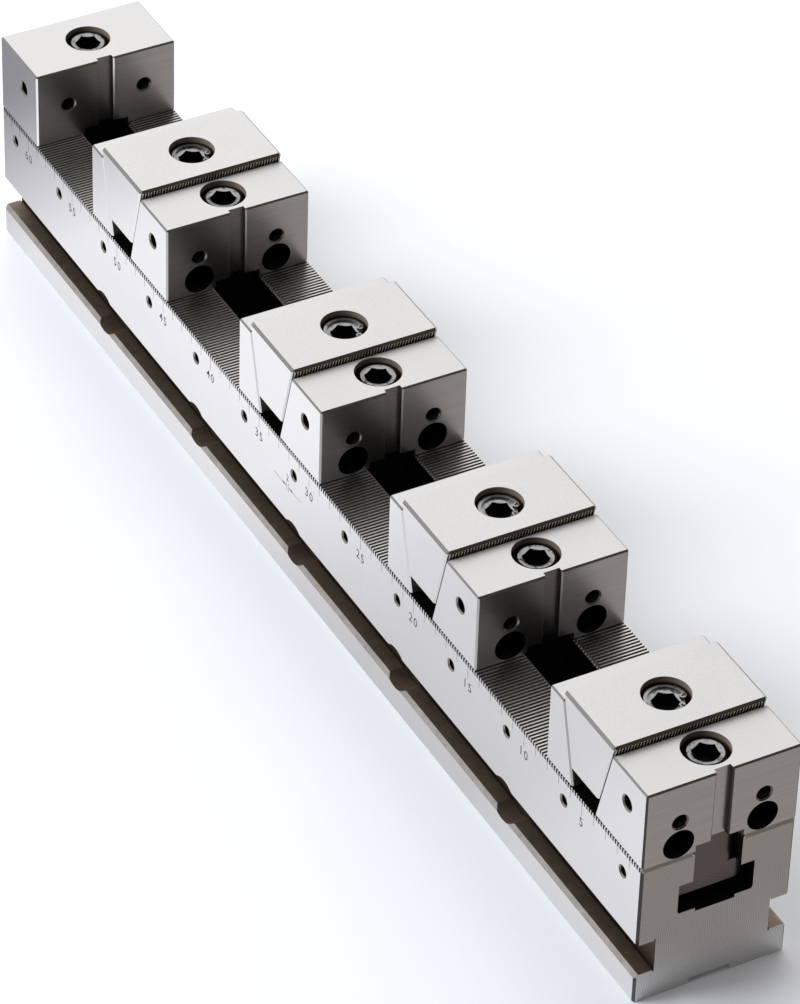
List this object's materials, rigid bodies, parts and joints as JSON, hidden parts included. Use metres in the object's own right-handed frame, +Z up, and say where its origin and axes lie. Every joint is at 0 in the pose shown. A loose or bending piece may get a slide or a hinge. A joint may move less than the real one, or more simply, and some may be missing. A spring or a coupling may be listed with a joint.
{
  "type": "multiple clamping vise",
  "caption": "Long serrated steel rail with a tee slot, a fixed end jaw and wedge-driven jaws that clamp several workpieces in a row.",
  "frame": {"origin": "middle of the rail's underside, which is the bottom centre of the whole part", "axes": "+X along the rail towards the end where its scale starts, -Y towards the scale, +Z up"},
  "size_m": [0.63, 0.075, 0.1205],
  "materials": {
    "rail_steel": "ground",
    "block_steel": "ground",
    "wedge_steel": "milled",
    "jaw_steel": "ground",
    "screw_steel": "satin",
    "bolt_steel": "satin",
    "spring_steel": "satin",
    "nut_steel": "milled"
  },
  "bodies": {
    "base": {"base_rail": "rail_steel", "end_jaw": "block_steel", "block_screws": "screw_steel", "block_nuts": "nut_steel", "clamp_block_1": "block_steel", "pull_springs_1": "spring_steel", "clamp_block_2": "block_steel", "pull_springs_2": "spring_steel", "clamp_block_3": "block_steel", "pull_springs_3": "spring_steel", "clamp_block_4": "block_steel", "pull_springs_4": "spring_steel"},
    "wedge_1": {"wedge_1": "wedge_steel"},
    "wedge_screw_1": {"wedge_screw_1": "screw_steel"},
    "movable_jaw_1": {"movable_jaw_1": "jaw_steel", "pull_bolts_1": "bolt_steel"},
    "wedge_nut_1": {"wedge_nut_1": "nut_steel"},
    "wedge_2": {"wedge_2": "wedge_steel"},
    "wedge_screw_2": {"wedge_screw_2": "screw_steel"},
    "movable_jaw_2": {"movable_jaw_2": "jaw_steel", "pull_bolts_2": "bolt_steel"},
    "wedge_nut_2": {"wedge_nut_2": "nut_steel"},
    "wedge_3": {"wedge_3": "wedge_steel"},
    "wedge_screw_3": {"wedge_screw_3": "screw_steel"},
    "movable_jaw_3": {"movable_jaw_3": "jaw_steel", "pull_bolts_3": "bolt_steel"},
    "wedge_nut_3": {"wedge_nut_3": "nut_steel"},
    "wedge_4": {"wedge_4": "wedge_steel"},
    "wedge_screw_4": {"wedge_screw_4": "screw_steel"},
    "movable_jaw_4": {"movable_jaw_4": "jaw_steel", "pull_bolts_4": "bolt_steel"},
    "wedge_nut_4": {"wedge_nut_4": "nut_steel"}
  },
  "joints": [
    {"name": "wedge_slide_1", "type": "slide", "parent": "base", "child": "wedge_1", "axis": [-0.2588, 0, -0.9659], "range_m": [0, 0.006]},
    {"name": "wedge_screw_turn_1", "type": "hinge", "parent": "wedge_1", "child": "wedge_screw_1", "pos_m": [0.26581, 0, 0.1], "axis": [0, 0, 1], "range_deg": [-1193, 0]},
    {"name": "jaw_slide_1", "type": "slide", "parent": "base", "child": "movable_jaw_1", "axis": [-1, 0, 0], "range_m": [0, 0.0032], "deforming": ["pull_springs_1"]},
    {"name": "wedge_nut_slide_1", "type": "slide", "parent": "base", "child": "wedge_nut_1", "axis": [-1, 0, 0], "range_m": [0, 0.0016]},
    {"name": "wedge_slide_2", "type": "slide", "parent": "base", "child": "wedge_2", "axis": [-0.2588, 0, -0.9659], "range_m": [0, 0.006]},
    {"name": "wedge_screw_turn_2", "type": "hinge", "parent": "wedge_2", "child": "wedge_screw_2", "pos_m": [0.12181, 0, 0.1], "axis": [0, 0, 1], "range_deg": [-1193, 0]},
    {"name": "jaw_slide_2", "type": "slide", "parent": "base", "child": "movable_jaw_2", "axis": [-1, 0, 0], "range_m": [0, 0.0032], "deforming": ["pull_springs_2"]},
    {"name": "wedge_nut_slide_2", "type": "slide", "parent": "base", "child": "wedge_nut_2", "axis": [-1, 0, 0], "range_m": [0, 0.0016]},
    {"name": "wedge_slide_3", "type": "slide", "parent": "base", "child": "wedge_3", "axis": [-0.2588, 0, -0.9659], "range_m": [0, 0.006]},
    {"name": "wedge_screw_turn_3", "type": "hinge", "parent": "wedge_3", "child": "wedge_screw_3", "pos_m": [-0.02419, 0, 0.1], "axis": [0, 0, 1], "range_deg": [-1193, 0]},
    {"name": "jaw_slide_3", "type": "slide", "parent": "base", "child": "movable_jaw_3", "axis": [-1, 0, 0], "range_m": [0, 0.0032], "deforming": ["pull_springs_3"]},
    {"name": "wedge_nut_slide_3", "type": "slide", "parent": "base", "child": "wedge_nut_3", "axis": [-1, 0, 0], "range_m": [0, 0.0016]},
    {"name": "wedge_slide_4", "type": "slide", "parent": "base", "child": "wedge_4", "axis": [-0.2588, 0, -0.9659], "range_m": [0, 0.006]},
    {"name": "wedge_screw_turn_4", "type": "hinge", "parent": "wedge_4", "child": "wedge_screw_4", "pos_m": [-0.18019, 0, 0.1], "axis": [0, 0, 1], "range_deg": [-1193, 0]},
    {"name": "jaw_slide_4", "type": "slide", "parent": "base", "child": "movable_jaw_4", "axis": [-1, 0, 0], "range_m": [0, 0.0032], "deforming": ["pull_springs_4"]},
    {"name": "wedge_nut_slide_4", "type": "slide", "parent": "base", "child": "wedge_nut_4", "axis": [-1, 0, 0], "range_m": [0, 0.0016]}
  ],
  "couplings": [
    {"joint": "wedge_screw_turn_1", "follows": "wedge_slide_1", "rad_per_m": -3468.1},
    {"joint": "jaw_slide_1", "follows": "wedge_slide_1", "ratio": 0.51764},
    {"joint": "wedge_nut_slide_1", "follows": "wedge_slide_1", "ratio": 0.25882},
    {"joint": "wedge_screw_turn_2", "follows": "wedge_slide_2", "rad_per_m": -3468.1},
    {"joint": "jaw_slide_2", "follows": "wedge_slide_2", "ratio": 0.51764},
    {"joint": "wedge_nut_slide_2", "follows": "wedge_slide_2", "ratio": 0.25882},
    {"joint": "wedge_screw_turn_3", "follows": "wedge_slide_3", "rad_per_m": -3468.1},
    {"joint": "jaw_slide_3", "follows": "wedge_slide_3", "ratio": 0.51764},
    {"joint": "wedge_nut_slide_3", "follows": "wedge_slide_3", "ratio": 0.25882},
    {"joint": "wedge_screw_turn_4", "follows": "wedge_slide_4", "rad_per_m": -3468.1},
    {"joint": "jaw_slide_4", "follows": "wedge_slide_4", "ratio": 0.51764},
    {"joint": "wedge_nut_slide_4", "follows": "wedge_slide_4", "ratio": 0.25882}
  ]
}
